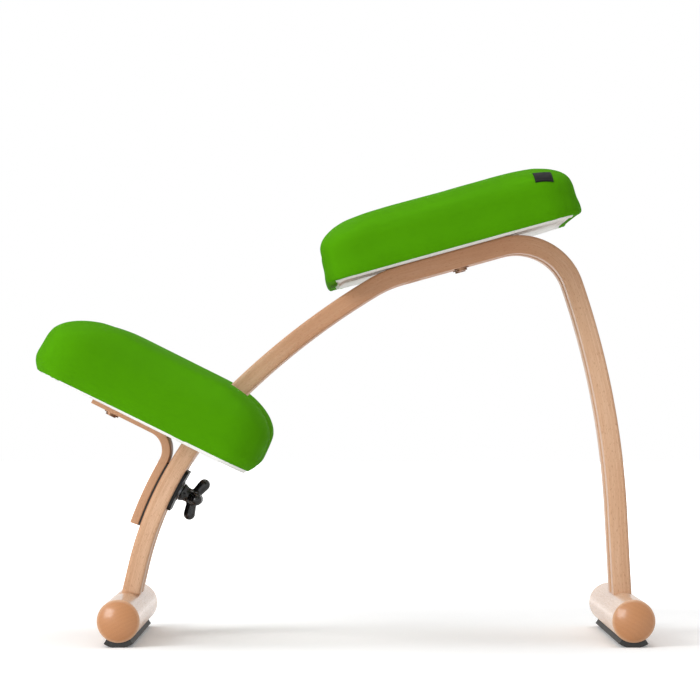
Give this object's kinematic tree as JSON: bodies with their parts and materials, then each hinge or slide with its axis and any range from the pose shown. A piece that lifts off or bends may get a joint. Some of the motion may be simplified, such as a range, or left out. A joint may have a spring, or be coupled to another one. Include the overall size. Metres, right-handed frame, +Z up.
{
  "type": "kneeling chair",
  "caption": "Kneeling chair with a sloped green seat on bent beech rails, round foot bars, and a notched knee rest that slides along the rails and locks with a star knob.",
  "frame": {"origin": "on the floor, at the middle of the chair's bounding box", "axes": "+Z up, +X from the knee rest towards the rear foot bar, +Y to the sitter's right"},
  "size_m": [0.7236, 0.47, 0.5592],
  "materials": {
    "beech": "satin clear lacquer over laminated beech",
    "plywood": "raw birch plywood",
    "green_fabric": "fine plain-woven upholstery cloth",
    "pale_lining": "thin pale lining cloth",
    "foam": "moulded open-cell foam",
    "black_rubber": "matt moulded rubber",
    "black_plastic": "fine-grained moulded plastic",
    "black_steel": "black powder coat",
    "zinc_steel": "bright zinc plate",
    "bronzed_steel": "dark bronzed steel",
    "brass": "turned brass",
    "black_tag": "narrow woven ribbon, blank"
  },
  "bodies": {
    "frame": {"left_rail": "beech", "right_rail": "beech", "front_foot_bar": "beech", "rear_foot_bar": "beech", "front_foot_pad": "black_rubber", "rear_foot_pad": "black_rubber", "front_bar_bolts": "zinc_steel", "rear_bar_bolts": "zinc_steel", "front_barrel_nuts": "zinc_steel", "rear_barrel_nuts": "zinc_steel", "seat_board": "plywood", "seat_foam": "foam", "seat_cover": "green_fabric", "seat_underside_cloth": "pale_lining", "seat_bolts": "bronzed_steel", "seat_washers": "bronzed_steel", "seat_tee_nuts": "zinc_steel", "seat_tag": "black_tag"},
    "knee_rest": {"knee_board": "plywood", "knee_foam": "foam", "knee_cover": "green_fabric", "knee_underside_cloth": "pale_lining", "knee_bracket": "beech", "bracket_liner": "black_rubber", "knee_bolts": "bronzed_steel", "knee_washers": "bronzed_steel", "knee_tee_nuts": "zinc_steel", "knee_screws": "bronzed_steel", "clamp_bolt": "zinc_steel"},
    "clamp": {"clamp_plate": "black_steel", "clamp_washer": "zinc_steel"},
    "knob": {"knob_grip": "black_plastic", "knob_insert": "brass"}
  },
  "joints": [
    {"name": "knee_adjust", "type": "hinge", "parent": "frame", "child": "knee_rest", "pos_m": [0.17004, 0, -0.01254], "axis": [0, 1, 0], "range_deg": [-6, 8]},
    {"name": "clamp_release", "type": "slide", "parent": "knee_rest", "child": "clamp", "axis": [0.8894, 0, -0.4571], "range_m": [0, 0.0025]},
    {"name": "knob_turn", "type": "hinge", "parent": "clamp", "child": "knob", "pos_m": [-0.20263, 0, 0.17899], "axis": [0.8894, 0, -0.4571], "range_deg": [0, 721]}
  ],
  "couplings": [
    {"joint": "knob_turn", "follows": "clamp_release", "rad_per_m": 5026.5}
  ]
}
